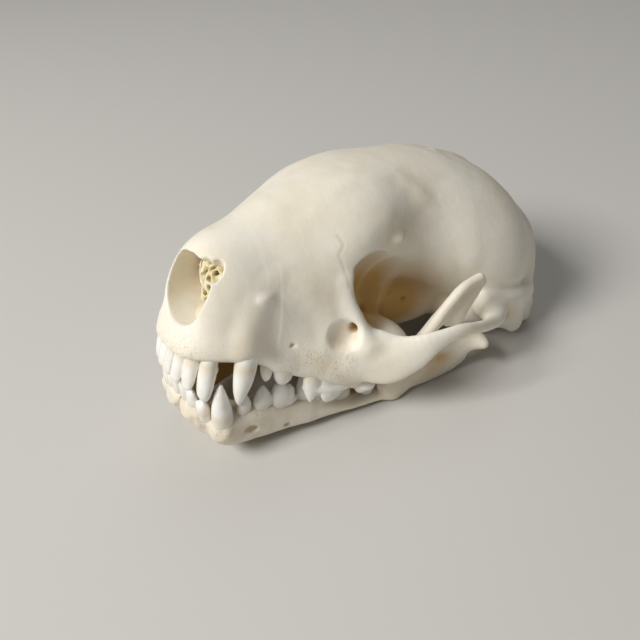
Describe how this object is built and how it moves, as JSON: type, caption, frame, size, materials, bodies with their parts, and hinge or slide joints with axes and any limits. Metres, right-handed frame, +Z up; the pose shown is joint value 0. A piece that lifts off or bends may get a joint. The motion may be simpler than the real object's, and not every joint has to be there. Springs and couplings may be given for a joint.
{
  "type": "skunk skull",
  "caption": "Skunk skull with its lower jaw closed: domed braincase, short deep muzzle with an open nose, slender cheekbones and interlocking canine teeth.",
  "frame": {"origin": "on the floor under the middle of the skull's bounding box", "axes": "+X to the animal's left, +Y from the nose to the back of the head, +Z up; the skull is tipped nose up as it rests on its lower jaw"},
  "size_m": [0.039, 0.0568, 0.0306],
  "materials": {
    "bone": "dry cleaned bone, cream white, a low satin sheen",
    "jaw_bone": "dry cleaned bone, a little warmer and rougher near the teeth"
  },
  "bodies": {
    "root": {"face": "bone", "braincase": "bone", "cheekbone_left": "bone", "cheekbone_right": "bone", "temple_arm_left": "bone", "temple_arm_right": "bone", "mandible_left": "jaw_bone", "mandible_right": "jaw_bone"}
  },
  "joints": []
}
